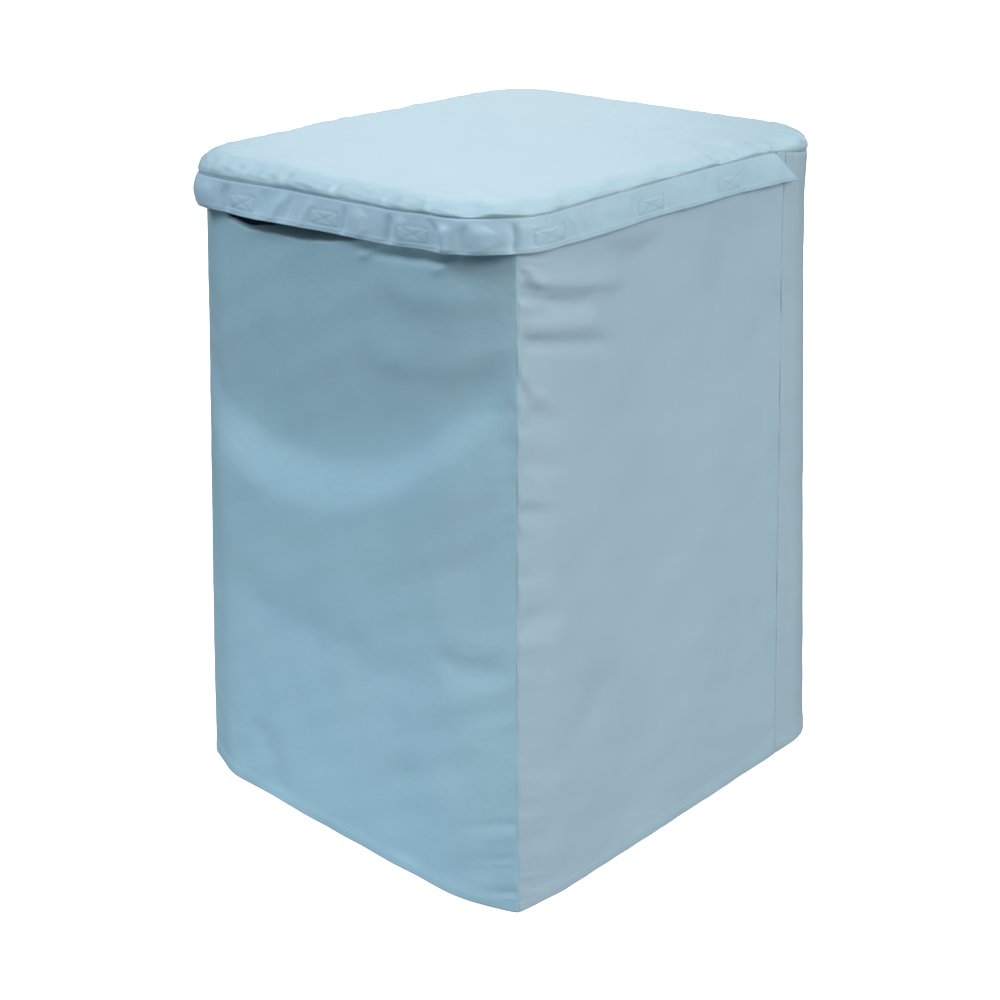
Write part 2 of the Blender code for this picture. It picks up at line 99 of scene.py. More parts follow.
def softNoise(a, b, size, seed, stretch=1.0):
    # smooth uneven waves of about one size, the same on every run
    picks = np.random.default_rng(seed)
    total = np.zeros(np.broadcast(a, b).shape)
    for turn, scale, start in zip(picks.uniform(0, math.pi, 12), picks.uniform(0.6, 1.7, 12), picks.uniform(0, 6.28, 12)):
        total += np.sin((a * math.cos(turn) / stretch + b * math.sin(turn)) * 2 * math.pi / (size * scale) + start)
    return total / 12 ** 0.5


def foldHeight(folds, across, up):
    # how far cloth stands out (+) or falls in (-) by the folds on its panel
    # a fold: three places (across, up), width above it, width below it, height
    total = np.zeros(np.broadcast(across, up).shape)
    t = np.linspace(0.0, 1.0, 17)
    for a0, b0, a1, b1, a2, b2, above, below, height in folds:
        a = (1 - t) ** 2 * a0 + 2 * t * (1 - t) * (2 * a1 - (a0 + a2) / 2) + t * t * a2
        b = (1 - t) ** 2 * b0 + 2 * t * (1 - t) * (2 * b1 - (b0 + b2) / 2) + t * t * b2
        nearest, along, side = np.full(total.shape, 9.0), np.zeros(total.shape), np.zeros(total.shape)
        for k in range(16):
            stepA, stepB = a[k + 1] - a[k], b[k + 1] - b[k]
            s = np.clip(((across - a[k]) * stepA + (up - b[k]) * stepB) / (stepA ** 2 + stepB ** 2), 0, 1)
            offA, offB = across - a[k] - s * stepA, up - b[k] - s * stepB
            gap = np.hypot(offA, offB)
            closer = gap < nearest
            nearest = np.where(closer, gap, nearest)
            along = np.where(closer, t[k] + s / 16, along)
            side = np.where(closer, stepA * offB - stepB * offA, side)
        width = np.where(side > 0, above, below)
        fade = smooth(4.5 * np.minimum(along, 1 - along))
        total += height * fade * np.exp(-(nearest / width) ** 2)
    return total


def ringPlace(around, inset=0.0):
    # a place on the lid's rounded outline, moved inwards
    radius = cover["cornerRadius"]
    run, side = np.abs(around), np.where(np.asarray(around) < 0, -1.0, 1.0)
    firstTurn = (np.clip(run, frontRun, frontRun + arcRun) - frontRun) / radius
    lastStart = frontRun + arcRun + sideRun
    lastTurn = (np.clip(run, lastStart, lastStart + arcRun) - lastStart) / radius
    angle = firstTurn + lastTurn - math.pi / 2
    x = np.clip(run, 0, frontRun) - np.clip(run - lastStart - arcRun, 0, None) + (radius - inset) * np.cos(angle)
    y = radius - halfDepth + np.clip(run - frontRun - arcRun, 0, sideRun) + (radius - inset) * np.sin(angle)
    return side * x, y


def bodyHalves(z, sewn=0.0):
    # half width and half depth of the body at a height; where it is sewn to the lid it starts at the outline
    drop = (cover["meanSeam"] - z) / (cover["meanSeam"] - hem)
    inset = cover["bodyInset"] * (1 - sewn + sewn * smooth((cover["meanSeam"] - z - 0.004) / 0.080))
    return halfWidth - inset + cover["flareWidth"] * drop, halfDepth - inset + cover["flareDepth"] * drop


def cornerCrease(z):
    # how far the sewn front corner lies inside the side's plane and behind the front's
    drop = smooth((cover["meanSeam"] - z) / (cover["meanSeam"] - hem))
    return tuple(cover[key][0] * (1 - drop) + cover[key][1] * drop for key in ("creaseIn", "creaseBack"))


def stripShape(t):
    bend = cover["stripBend"]
    return np.where(t < bend, t * t / (2 * bend), t - bend / 2) / (1 - bend / 2)


def frontPlan(x, z):
    wide, deep = bodyHalves(z)
    inside, behind = cornerCrease(z)
    t = np.clip((np.abs(x) - wide + cover["strip"]) / (cover["strip"] - inside), 0, None)
    return x, behind * stripShape(t) - deep


def sidePlan(y, z):
    wide = bodyHalves(z, smooth((y - cover["sideSeam"] + cover["sewnRun"]) / cover["sewnRun"]))[0]
    deep = bodyHalves(z)[1]
    inside, behind = cornerCrease(z)
    t = np.clip((cover["strip"] - deep - y) / (cover["strip"] - behind), 0, None)
    return wide - inside * stripShape(t), y


def backPlan(share, z):
    # share runs from -1 at the right side's seam to 1 at the left side's
    wide, deep = bodyHalves(z, 1.0)
    radius = cover["cornerRadius"]
    flat, wrap = wide - radius, deep - radius - cover["sideSeam"]
    run = np.abs(share) * (wrap + arcRun + flat)
    angle = np.clip(run - flat, 0, arcRun) / radius
    x = np.minimum(run, flat) + radius * np.sin(angle)
    y = deep - radius + radius * np.cos(angle) - np.clip(run - flat - arcRun, 0, None)
    return np.where(share < 0, 1.0, -1.0) * x, y


def pushedOut(plan, place, z, away):
    # a place on a panel, moved out of it
    x0, y0 = plan(place - 0.004, z)
    x1, y1 = plan(place + 0.004, z)
    length = np.hypot(x1 - x0, y1 - y0)
    x, y = plan(place, z)
    return x + (y1 - y0) / length * away, y - (x1 - x0) / length * away, z


def hemHeight(x, y):
    wave = cover["hemWave"] * np.sin(9.0 * x + 1.0) * np.cos(7.0 * y)
    corner = np.exp(-(((np.abs(x) - halfWidth) / 0.045) ** 2 + ((y + halfDepth) / 0.055) ** 2))
    return hem + cover["hemDrop"] * (1 - corner) + wave


def hemStep(aboveHem):
    # the turned-up hem makes the lowest 18 mm two cloths thick
    return 0.0007 * (1 - smooth((aboveHem - 0.0165) / 0.003)) - 0.0006 * np.exp(-((aboveHem - 0.0150) / 0.0016) ** 2)


def seamDip(apart, reach=0.0026, depth=0.0016):
    # cloth turns in where it is sewn to its neighbour
    return -depth * np.exp(-(apart / reach) ** 2)


# ---- helpers for colour, nodes and meshes
def hexColour(text):
    # sRGB hex to the linear colour that Blender works in
    parts = [int(text[i:i + 2], 16) / 255 for i in (1, 3, 5)]
    return tuple(c / 12.92 if c <= 0.04045 else ((c + 0.055) / 1.055) ** 2.4 for c in parts) + (1.0,)


def addNode(tree, kind, settings=None, **links):
    # adds a node; settings are its properties, links its inputs by name (a value or another node's socket)
    node = tree.nodes.new(kind)
    for key, value in (settings or {}).items():
        setattr(node, key, value)
    for key, value in links.items():
        socket = node.inputs[int(key[1:])] if key[1:].isdigit() else node.inputs[key.replace("_", " ")]
        if isinstance(value, bpy.types.NodeSocket):
            tree.links.new(value, socket)
        else:
            socket.default_value = value
    return node


def clothMesh(name, columns, rows, place, flat, material, thickness=0.0011):
    # a grid moved to its place, with a UV map in metres and its thickness on the inside
    u, v = np.meshgrid(columns, rows)
    spots = np.stack(np.broadcast_arrays(*place(u, v)), axis=-1).reshape(-1, 3)
    wide, tall = len(columns), len(rows)
    first = (np.arange(tall - 1)[:, None] * wide + np.arange(wide - 1)[None, :]).ravel()
    faces = np.stack([first, first + 1, first + wide + 1, first + wide], axis=-1)
    mesh = bpy.data.meshes.new(name)
    mesh.from_pydata(spots.tolist(), [], faces.tolist())
    layer = mesh.uv_layers.new(name="clothUv")
    a, b = flat(u, v)
    flatSpots = np.stack(np.broadcast_arrays(a, b), axis=-1).reshape(-1, 2)
    layer.data.foreach_set("uv", flatSpots[faces.ravel()].ravel())
    work = bmesh.new()
    work.from_mesh(mesh)
    bmesh.ops.remove_doubles(work, verts=work.verts, dist=0.00002)
    work.normal_update()
    outwards = sum(f.normal.dot(f.calc_center_median() - heart) * f.calc_area() for f in work.faces)
    if outwards < 0:
        bmesh.ops.reverse_faces(work, faces=work.faces)
    work.to_mesh(mesh)
    work.free()
    mesh.shade_smooth()
    mesh.materials.append(material)
    piece = bpy.data.objects.new(name, mesh)
    bpy.context.scene.collection.objects.link(piece)
    thick = piece.modifiers.new("thickness", "SOLIDIFY")
    thick.thickness = thickness
    thick.offset = -1
    return piece


def sheetArea(piece):
    # the cloth's own area, one side
    return sum(polygon.area for polygon in piece.data.polygons)


heart = Vector((0, 0, -0.25))       # inside the cover, to tell which way is out


# ---- cloth materials
def coatedCloth(name, light, deep, roughness=0.44):
    # Polyester taffeta with a thin silver-backed coating: plain woven, so it has a low satin sheen,
    # a faint square weave and small soft crinkles where it was folded.
    made = bpy.data.materials.new(name)
    made.use_nodes = True
    tree = made.node_tree
    shader = tree.nodes["Principled BSDF"]
    spot = addNode(tree, "ShaderNodeTexCoord").outputs["Object"]
    cloth = addNode(tree, "ShaderNodeUVMap", {"uv_map": "clothUv"}).outputs["UV"]
    tone = addNode(tree, "ShaderNodeTexNoise", Vector=spot, Scale=9.0, Detail=3.0, Roughness=0.55).outputs["Fac"]
    wide = addNode(tree, "ShaderNodeMapRange", Value=tone, From_Min=0.35, From_Max=0.65).outputs["Result"]
    colour = addNode(tree, "ShaderNodeMix", {"data_type": "RGBA"}, _0=wide)
    colour.inputs["A"].default_value = hexColour(light)
    colour.inputs["B"].default_value = hexColour(deep)
    tree.links.new(colour.outputs["Result"], shader.inputs["Base Color"])
    # threads are 0.25 mm apart, drawn at 1.6 mm so that they show at all
    warp = addNode(tree, "ShaderNodeTexWave", {"bands_direction": "X"}, Vector=cloth, Scale=98.0, Distortion=0.6).outputs["Fac"]
    weft = addNode(tree, "ShaderNodeTexWave", {"bands_direction": "Y"}, Vector=cloth, Scale=98.0, Distortion=0.6).outputs["Fac"]
    weave = addNode(tree, "ShaderNodeMath", {"operation": "ADD"}, _0=warp, _1=weft).outputs[0]
    crinkle = addNode(tree, "ShaderNodeTexNoise", Vector=spot, Scale=70.0, Detail=4.0, Roughness=0.5).outputs["Fac"]
    soft = addNode(tree, "ShaderNodeBump", Height=crinkle, Strength=0.16, Distance=0.004).outputs["Normal"]
    fine = addNode(tree, "ShaderNodeBump", Height=weave, Normal=soft, Strength=0.06, Distance=0.0003).outputs["Normal"]
    tree.links.new(fine, shader.inputs["Normal"])
    shader.inputs["Roughness"].default_value = roughness
    shader.inputs["Specular IOR Level"].default_value = 0.5
    shader.inputs["Sheen Weight"].default_value = 0.12
    shader.inputs["Sheen Roughness"].default_value = 0.45
    return made


def tapeMaterial(name, light, deep):
    # Woven nylon hook-and-loop tape: matt, with a fuzzy pile 0.8 mm apart.
    made = bpy.data.materials.new(name)
    made.use_nodes = True
    tree = made.node_tree
    shader = tree.nodes["Principled BSDF"]
    spot = addNode(tree, "ShaderNodeTexCoord").outputs["Object"]
    pile = addNode(tree, "ShaderNodeTexVoronoi", Vector=spot, Scale=1250.0).outputs["Distance"]
    colour = addNode(tree, "ShaderNodeMix", {"data_type": "RGBA"}, _0=pile)
    colour.inputs["A"].default_value = hexColour(light)
    colour.inputs["B"].default_value = hexColour(deep)
    tree.links.new(colour.outputs["Result"], shader.inputs["Base Color"])
    bump = addNode(tree, "ShaderNodeBump", Height=pile, Strength=0.5, Distance=0.0004).outputs["Normal"]
    tree.links.new(bump, shader.inputs["Normal"])
    shader.inputs["Roughness"].default_value = 0.85
    shader.inputs["Sheen Weight"].default_value = 0.3
    return made


def threadMaterial(name, colour):
    # Spun polyester thread: round, with a dull shine and a twist too fine to see.
    made = bpy.data.materials.new(name)
    made.use_nodes = True
    tree = made.node_tree
    shader = tree.nodes["Principled BSDF"]
    spot = addNode(tree, "ShaderNodeTexCoord").outputs["Object"]
    twist = addNode(tree, "ShaderNodeTexNoise", Vector=spot, Scale=900.0, Detail=1.0).outputs["Fac"]
    bump = addNode(tree, "ShaderNodeBump", Height=twist, Strength=0.3, Distance=0.0002).outputs["Normal"]
    tree.links.new(bump, shader.inputs["Normal"])
    shader.inputs["Base Color"].default_value = hexColour(colour)
    shader.inputs["Roughness"].default_value = 0.6
    return made


# All panels are the same coated cloth. The lid's pair of tones is the cloth's own colour; the other panels get copies
# of it, made lighter or darker for how light falls on them.
lidCloth = coatedCloth("coated polyester, lid", "#c0dee8", "#bddce7")
# flap: a lighter, bluer copy of the lid's tone, painted light that makes up for the shade under the lid's rim
flapClothPaintedLight = coatedCloth("coated polyester, flap, with painted light", "#bfdfef", "#badbec")
# front: a darker, more cyan copy of the lid's tone, painted shade of the front face
frontClothPaintedShade = coatedCloth("coated polyester, front, with painted shade", "#afd5e3", "#abd2e1")
# sides: a darker, greyer copy of the lid's tone, painted shade of the side faces
sideClothPaintedShade = coatedCloth("coated polyester, sides, with painted shade", "#b6d1e0", "#b2cedd")
# back: the sides' shaded tone again, painted shade
backClothPaintedShade = coatedCloth("coated polyester, back, with painted shade", "#b6d0dd", "#b2cdda")
squareTape = tapeMaterial("nylon hook-and-loop tape", "#c9d6dc", "#93a7b2")
paleThread = threadMaterial("spun polyester thread", "#a9c3cf")

# ---- the lid
lid = {
    "stations": 600, "crownRings": 22, "shoulderRings": 26, "stitchedAt": 0.945, "shoulderRun": 0.058,
    # dents (+) and swellings (-) of the shoulder: way round, width, depth
    "dents": [
        (0.238, 0.014, 0.0045), (0.312, 0.013, 0.0045), (0.275, 0.018, -0.0030), (0.352, 0.012, -0.0015),
        (0.385, 0.016, 0.0022), (0.440, 0.014, -0.0012), (0.470, 0.017, 0.0030), (0.520, 0.014, -0.0015),
        (0.560, 0.016, 0.0026), (0.612, 0.016, -0.0015), (0.660, 0.018, 0.0030), (0.715, 0.016, -0.0014),
        (0.775, 0.018, 0.0032), (0.825, 0.020, -0.0015), (-0.120, 0.040, 0.0020), (0.060, 0.045, 0.0016),
        (0.150, 0.025, 0.0014), (-0.040, 0.030, -0.0010), (-0.430, 0.022, 0.0022), (-0.640, 0.025, 0.0022),
        (-0.540, 0.030, -0.0012), (-0.330, 0.090, 0.0035),
    ],
    "folds": [
        (-0.220, -0.180, -0.060, -0.140, 0.120, -0.170, 0.030, 0.030, -0.0012),
        (-0.200, 0.020, 0.050, 0.060, 0.230, 0.020, 0.035, 0.035, 0.0012),
        (-0.180, 0.220, 0.020, 0.180, 0.200, 0.230, 0.030, 0.030, -0.0012),
        (0.235, -0.275, 0.205, -0.250, 0.150, -0.235, 0.012, 0.014, -0.0018),
        (0.260, -0.160, 0.225, -0.140, 0.180, -0.135, 0.010, 0.012, -0.0012),
        (0.262, 0.020, 0.232, 0.030, 0.190, 0.025, 0.010, 0.012, -0.0012),
        (0.262, 0.120, 0.230, 0.130, 0.185, 0.120, 0.012, 0.012, -0.0012),
    ],
}


def lidPlace(around, rise):
    onCrown = np.clip(rise / lidShare, 0, 1)
    t = np.clip((rise - lidShare) / (1 - lidShare), 0, 1)
    angle = t * cover["shoulderTurn"]
    dent = sum(depth * np.exp(-((around - at) / width) ** 2) for at, width, depth in lid["dents"])
    ripples = 0.0009 * softNoise(around, 0.0, 0.034, 5) + 0.0006 * softNoise(around, t * lid["shoulderRun"], 0.022, 6)
    dent = dent + ripples * smooth((fullRun - np.abs(around)) / 0.06)      # alike on both sides of the back's middle
    dent = dent * np.sin(t * math.pi) + 0.0007 * np.exp(-((t - lid["stitchedAt"]) / 0.022) ** 2)
    outline = np.where(rise <= lidShare, cover["shoulderInset"], cover["shoulderInset"] * (1 - np.sin(angle)) + dent)
    x, y = ringPlace(around, outline)
    x, y = x * onCrown, y * onCrown
    fall = (cover["crown"] - easedRow(seamLine, around)) * (1 - np.cos(angle)) / (1 - math.cos(cover["shoulderTurn"]))
    flatFolds = foldHeight(lid["folds"], x, y) * smooth(6 * np.hypot(x, y)) * (1 - t)
    crinkles = 0.00022 * softNoise(x, y, 0.045, 8) * smooth(9 * np.hypot(x, y)) * (1 - t)
    return x, y, cover["crown"] - fall - dent / 2 + flatFolds + crinkles


lidShare = lid["crownRings"] / (lid["crownRings"] + lid["shoulderRings"])
lidRings = np.linspace(0, 1, lid["crownRings"] + lid["shoulderRings"] + 1)
lidRings = np.unique(np.concatenate([lidRings[:-3], np.linspace(lidRings[-3], 1, 10)]))
lidTop = clothMesh(
    "lidTop", np.linspace(-fullRun, fullRun, lid["stations"] + 1), lidRings, lidPlace,
    lambda around, rise: ringPlace(around, cover["shoulderInset"] * (1 - rise)), lidCloth,
)
print("lid made")

# ---- the flap that hangs round the front and both sides
flap = {
    "depth": 0.040, "slant": 0.038, "seamDrop": 0.0001,
    # how it stands off the seam's outline: way round, half way down, lower edge
    "stand": [
        (-0.820, 0.0080, 0.0110), (-0.760, 0.0068, 0.0090), (-0.680, 0.0032, 0.0040), (-0.560, 0.0030, 0.0035),
        (-0.400, 0.0035, 0.0030), (-0.270, 0.0086, 0.0042), (-0.175, 0.0042, 0.0055), (-0.105, 0.0052, 0.0120),
        (-0.060, 0.0054, 0.0115), (0.020, 0.0038, 0.0060), (0.095, 0.0045, 0.0065), (0.165, 0.0035, 0.0045), (0.258, 0.0048, 0.0056),
        (0.345, 0.0030, 0.0035), (0.430, 0.0045, 0.0075), (0.515, 0.0030, 0.0035), (0.600, 0.0045, 0.0070),
        (0.680, 0.0030, 0.0040), (0.760, 0.0068, 0.0090), (0.820, 0.0080, 0.0115),
    ],
    # creases in (way round, height below the seam)
    "folds": [
        (-0.210, -0.002, -0.205, -0.020, -0.212, -0.042, 0.010, 0.012, 0.0022),
        (-0.166, -0.001, -0.170, -0.020, -0.164, -0.044, 0.010, 0.007, -0.0036),
        (-0.100, -0.002, -0.094, -0.018, -0.106, -0.042, 0.008, 0.010, -0.0017),
        (-0.055, 0.002, -0.066, -0.020, -0.084, -0.044, 0.006, 0.007, 0.0031),
        (-0.044, 0.000, -0.048, -0.020, -0.062, -0.044, 0.006, 0.006, -0.0020),
        (-0.004, 0.002, -0.016, -0.020, -0.026, -0.044, 0.006, 0.005, 0.0025),
        (0.046, -0.002, 0.049, -0.020, 0.046, -0.042, 0.005, 0.005, -0.0022),
        (0.078, -0.004, 0.074, -0.020, 0.084, -0.040, 0.012, 0.012, 0.0025),
        (0.120, 0.000, 0.124, -0.020, 0.122, -0.044, 0.006, 0.006, -0.0042),
        (0.146, -0.002, 0.142, -0.020, 0.150, -0.042, 0.008, 0.006, 0.0022),
        (0.180, -0.002, 0.196, -0.016, 0.202, -0.044, 0.005, 0.006, -0.0034),
        (0.212, -0.004, 0.208, -0.024, 0.214, -0.042, 0.007, 0.009, 0.0034),
        (0.236, -0.002, 0.232, -0.024, 0.238, -0.042, 0.005, 0.006, -0.0025),
        (0.256, -0.006, 0.252, -0.020, 0.258, -0.040, 0.012, 0.012, 0.0031),
        (0.285, 0.000, 0.288, -0.020, 0.284, -0.042, 0.005, 0.005, -0.0034),
        (0.366, -0.002, 0.374, -0.016, 0.386, -0.042, 0.003, 0.005, 0.0014),
        (0.378, -0.002, 0.388, -0.018, 0.400, -0.042, 0.004, 0.008, -0.0008),
        (0.420, -0.004, 0.440, -0.020, 0.450, -0.040, 0.014, 0.014, 0.0010),
        (0.476, -0.002, 0.480, -0.020, 0.478, -0.042, 0.003, 0.004, -0.0012),
        (0.545, -0.002, 0.541, -0.020, 0.545, -0.042, 0.004, 0.004, -0.0010),
        (0.580, -0.002, 0.574, -0.020, 0.582, -0.042, 0.010, 0.010, 0.0010),
        (0.622, -0.002, 0.619, -0.020, 0.625, -0.042, 0.004, 0.005, -0.0013),
        (0.700, -0.002, 0.697, -0.020, 0.701, -0.042, 0.004, 0.004, -0.0009),
        (0.745, 0.000, 0.752, -0.020, 0.766, -0.040, 0.010, 0.010, 0.0012),
        (-0.285, 0.000, -0.288, -0.020, -0.284, -0.042, 0.008, 0.008, -0.0020),
        (-0.480, -0.002, -0.476, -0.020, -0.480, -0.042, 0.005, 0.005, -0.0010),
        (-0.620, -0.002, -0.617, -0.020, -0.622, -0.042, 0.005, 0.005, -0.0010),
    ],
    "squares": {
        "front_left": -0.135, "front_middle": 0.015, "front_right": 0.163, "corner": 0.335,
        "right_front": 0.511, "right_back": 0.662, "left_front": -0.511, "left_back": -0.662,
    },
    "squareLength": 0.050, "squareHeight": 0.022, "squareDrop": 0.024, "stitchInset": 0.002,
}


def flapAround(sewnAt, down):
    # the lower corners reach further round than the sewn edge
    reach = smooth((np.abs(sewnAt) - flapReach) / 0.07 + 1)
    return sewnAt + np.sign(sewnAt) * flap["slant"] * down * reach


def boxGroove(around, below):
    # stitches press the cloth in along each square's border and its two diagonals
    total = np.zeros(np.broadcast(around, below).shape)
    wide, tall = flap["squareLength"] / 2 - flap["stitchInset"], flap["squareHeight"] / 2 - flap["stitchInset"]
    for middle in flap["squares"].values():
        a, b = around - middle, below - flap["squareDrop"]
        border = np.maximum(np.abs(a) - wide, np.abs(b) - tall)
        cross = np.minimum(np.abs(a * tall - b * wide), np.abs(a * tall + b * wide)) / math.hypot(wide, tall)
        inside = smooth(0.5 - border / 0.002)
        total -= 0.0007 * np.exp(-(border / 0.0014) ** 2) + 0.0006 * inside * np.exp(-(cross / 0.0014) ** 2)
        total += 0.0009 * smooth(0.5 - border / 0.010)
    return total


def flapPlace(sewnAt, down, inside=0.0, finish=1.0):
    around = flapAround(sewnAt, down)
    middle, edge = easedRow(flap["stand"], around), easedRow(flap["stand"], around, 2)
    stand = 4 * down * (1 - down) * (middle - edge / 2) + down * edge
    below = down * flap["depth"]
    folds = foldHeight(flap["folds"], around, -below) * smooth(down * 2.6 - 0.12) if finish else 0.0
    relief = folds + finish * (boxGroove(around, below) + 0.0003 * softNoise(around, below, 0.028, 11) * smooth(down * 3))
    lower = (1 - down) * flap["depth"]
    relief = relief + finish * (0.0005 * (1 - smooth((lower - 0.0055) / 0.0015)) - 0.0010 * np.exp(-(below / 0.0016) ** 2))
    rimInset = cover["shoulderInset"] * (1 - math.sin(cover["shoulderTurn"]))
    x, y = ringPlace(around, rimInset - stand + inside - relief)
    return x, y, easedRow(seamLine, sewnAt) - flap["seamDrop"] - below


flapRows = np.unique(np.concatenate([np.linspace(0, 0.12, 7), np.linspace(0.12, 1, 24)]))
lidFlap = clothMesh(
    "lidFlap", np.linspace(-flapReach, flapReach, 861), flapRows, flapPlace,
    lambda sewnAt, down: (flapAround(sewnAt, down), down * flap["depth"]), flapClothPaintedLight,
)
print("flap made")

# ---- the body's four panels
front = {
    # slack upper edge: across, height, how far it falls in, and over what height
    "edge": [
        (-0.280, -0.034, 0.000, 0.010), (-0.215, -0.052, 0.001, 0.010), (-0.190, -0.0615, 0.002, 0.007),
        (-0.165, -0.0700, 0.003, 0.005), (-0.135, -0.0750, 0.006, 0.005), (-0.105, -0.0720, 0.012, 0.007),
        (-0.080, -0.0665, 0.020, 0.011), (-0.040, -0.063, 0.024, 0.015), (0.005, -0.058, 0.020, 0.015),
        (0.045, -0.052, 0.013, 0.014), (0.078, -0.045, 0.006, 0.013), (0.100, -0.036, 0.003, 0.016),
        (0.150, -0.034, 0.003, 0.020), (0.190, -0.032, 0.003, 0.020), (0.225, -0.036, 0.005, 0.020),
        (0.262, -0.034, 0.003, 0.020), (0.280, -0.030, 0.000, 0.020),
    ],
    "folds": [
        (-0.300, -0.335, 0.020, -0.416, 0.340, -0.165, 0.036, 0.110, 0.0085),
        (-0.300, -0.259, 0.020, -0.340, 0.340, -0.117, 0.095, 0.036, -0.0135),
        (0.060, -0.194, 0.215, -0.181, 0.315, -0.122, 0.030, 0.020, 0.0042),
        (0.090, -0.102, 0.215, -0.107, 0.315, -0.064, 0.024, 0.018, 0.0032),
        (0.050, -0.068, 0.170, -0.062, 0.290, -0.050, 0.012, 0.008, -0.0065),
        (-0.250, -0.560, -0.010, -0.598, 0.190, -0.590, 0.030, 0.030, -0.0017),
        (-0.250, -0.490, -0.060, -0.530, 0.130, -0.520, 0.040, 0.040, 0.0014),
        (0.180, -0.545, 0.240, -0.560, 0.290, -0.550, 0.018, 0.018, -0.0022),
        (0.060, -0.440, 0.075, -0.600, 0.070, -0.800, 0.016, 0.030, 0.0012),
        (-0.040, -0.480, -0.030, -0.640, -0.045, -0.850, 0.030, 0.020, -0.0012),
        (-0.170, -0.760, -0.137, -0.820, -0.120, -0.885, 0.024, 0.024, -0.0040),
        (0.120, -0.700, 0.135, -0.800, 0.140, -0.885, 0.030, 0.030, -0.0030),
        (0.060, -0.082, 0.092, -0.066, 0.112, -0.046, 0.005, 0.006, 0.0030),
        (0.180, -0.080, 0.208, -0.064, 0.226, -0.044, 0.005, 0.006, 0.0030),
    ],
}
side = {
    "folds": [
        (-0.292, -0.058, -0.262, -0.076, -0.238, -0.099, 0.008, 0.009, 0.0040),
        (-0.275, -0.082, -0.180, -0.103, -0.090, -0.118, 0.013, 0.009, 0.0032),
        (-0.250, -0.110, -0.205, -0.121, -0.155, -0.128, 0.009, 0.012, -0.0038),
        (-0.292, -0.132, -0.215, -0.146, -0.135, -0.160, 0.013, 0.009, 0.0031),
        (-0.290, -0.150, -0.205, -0.168, -0.120, -0.186, 0.007, 0.011, -0.0030),
        (-0.302, -0.190, -0.272, -0.206, -0.236, -0.233, 0.011, 0.010, 0.0036),
        (-0.300, -0.225, -0.262, -0.238, -0.212, -0.262, 0.009, 0.012, -0.0019),
        (-0.303, -0.285, -0.265, -0.296, -0.212, -0.318, 0.009, 0.012, -0.0019),
        (-0.305, -0.350, -0.270, -0.360, -0.222, -0.378, 0.010, 0.013, -0.0016),
        (-0.308, -0.415, -0.272, -0.424, -0.228, -0.440, 0.010, 0.013, -0.0013),
        (-0.310, -0.480, -0.268, -0.490, -0.215, -0.505, 0.014, 0.014, -0.0015),
        (-0.110, -0.060, -0.060, -0.180, -0.030, -0.340, 0.035, 0.035, -0.0036),
        (-0.150, -0.060, -0.090, -0.085, -0.020, -0.075, 0.012, 0.016, -0.0020),
        (0.110, -0.060, 0.085, -0.150, 0.070, -0.240, 0.020, 0.026, -0.0022),
        (0.080, -0.300, 0.060, -0.500, 0.070, -0.760, 0.040, 0.040, 0.0030),
        (-0.200, -0.600, -0.120, -0.700, -0.100, -0.880, 0.045, 0.045, -0.0036),
    ],
    "puckers": 0.0013,
}
back = {
    "folds": [
        (-0.200, -0.090, 0.000, -0.250, 0.210, -0.100, 0.035, 0.035, -0.0060),
        (-0.230, -0.180, 0.010, -0.360, 0.240, -0.190, 0.026, 0.036, 0.0040),
        (-0.100, -0.500, -0.110, -0.700, -0.090, -0.880, 0.045, 0.045, -0.0050),
        (0.140, -0.450, 0.120, -0.650, 0.130, -0.880, 0.045, 0.045, 0.0040),
    ],
}


def seamPuckers(apart, z, amount, seed):
    # small creases that run off a sewn edge, deeper where it is drawn tighter
    reach = 0.022 + 0.020 * (0.5 + 0.5 * softNoise(z, 0.0, 0.10, seed + 1))
    slope = z + 0.28 * apart
    wave = softNoise(slope, 0.0, 0.026, seed) + 0.6 * softNoise(slope, 0.0, 0.013, seed + 2)
    return amount * wave * np.exp(-(np.clip(apart, 0, None) / reach) ** 1.3) * smooth(apart / 0.006)


def frontPlace(u, up, lift=0.0):
    across = u * (halfWidth - cover["bodyInset"] - cover["creaseIn"][0])
    low = hemHeight(*frontPlan(u * (bodyHalves(hem)[0] - cover["creaseIn"][1]), hem))
    high = easedRow(front["edge"], across)
    z = low + up * (high - low)
    edgeX = bodyHalves(z)[0] - cornerCrease(z)[0]
    x = u * edgeX
    apart = edgeX - np.abs(x)
    away = foldHeight(front["folds"], x, z) * smooth(apart / 0.030)
    away = away + 0.0005 * softNoise(x, z, 0.075, 21) * smooth(apart / 0.040)
    near = np.clip(1 - (high - z) / easedRow(front["edge"], across, 3), 0, 1)
    away = away - easedRow(front["edge"], across, 2) * near * (1.6 - 0.6 * near)
    away = away + seamDip(apart, 0.0024, 0.0006) + seamPuckers(apart, z, 0.0004, 31) + hemStep(z - low) + lift
    return pushedOut(frontPlan, x, z, away)


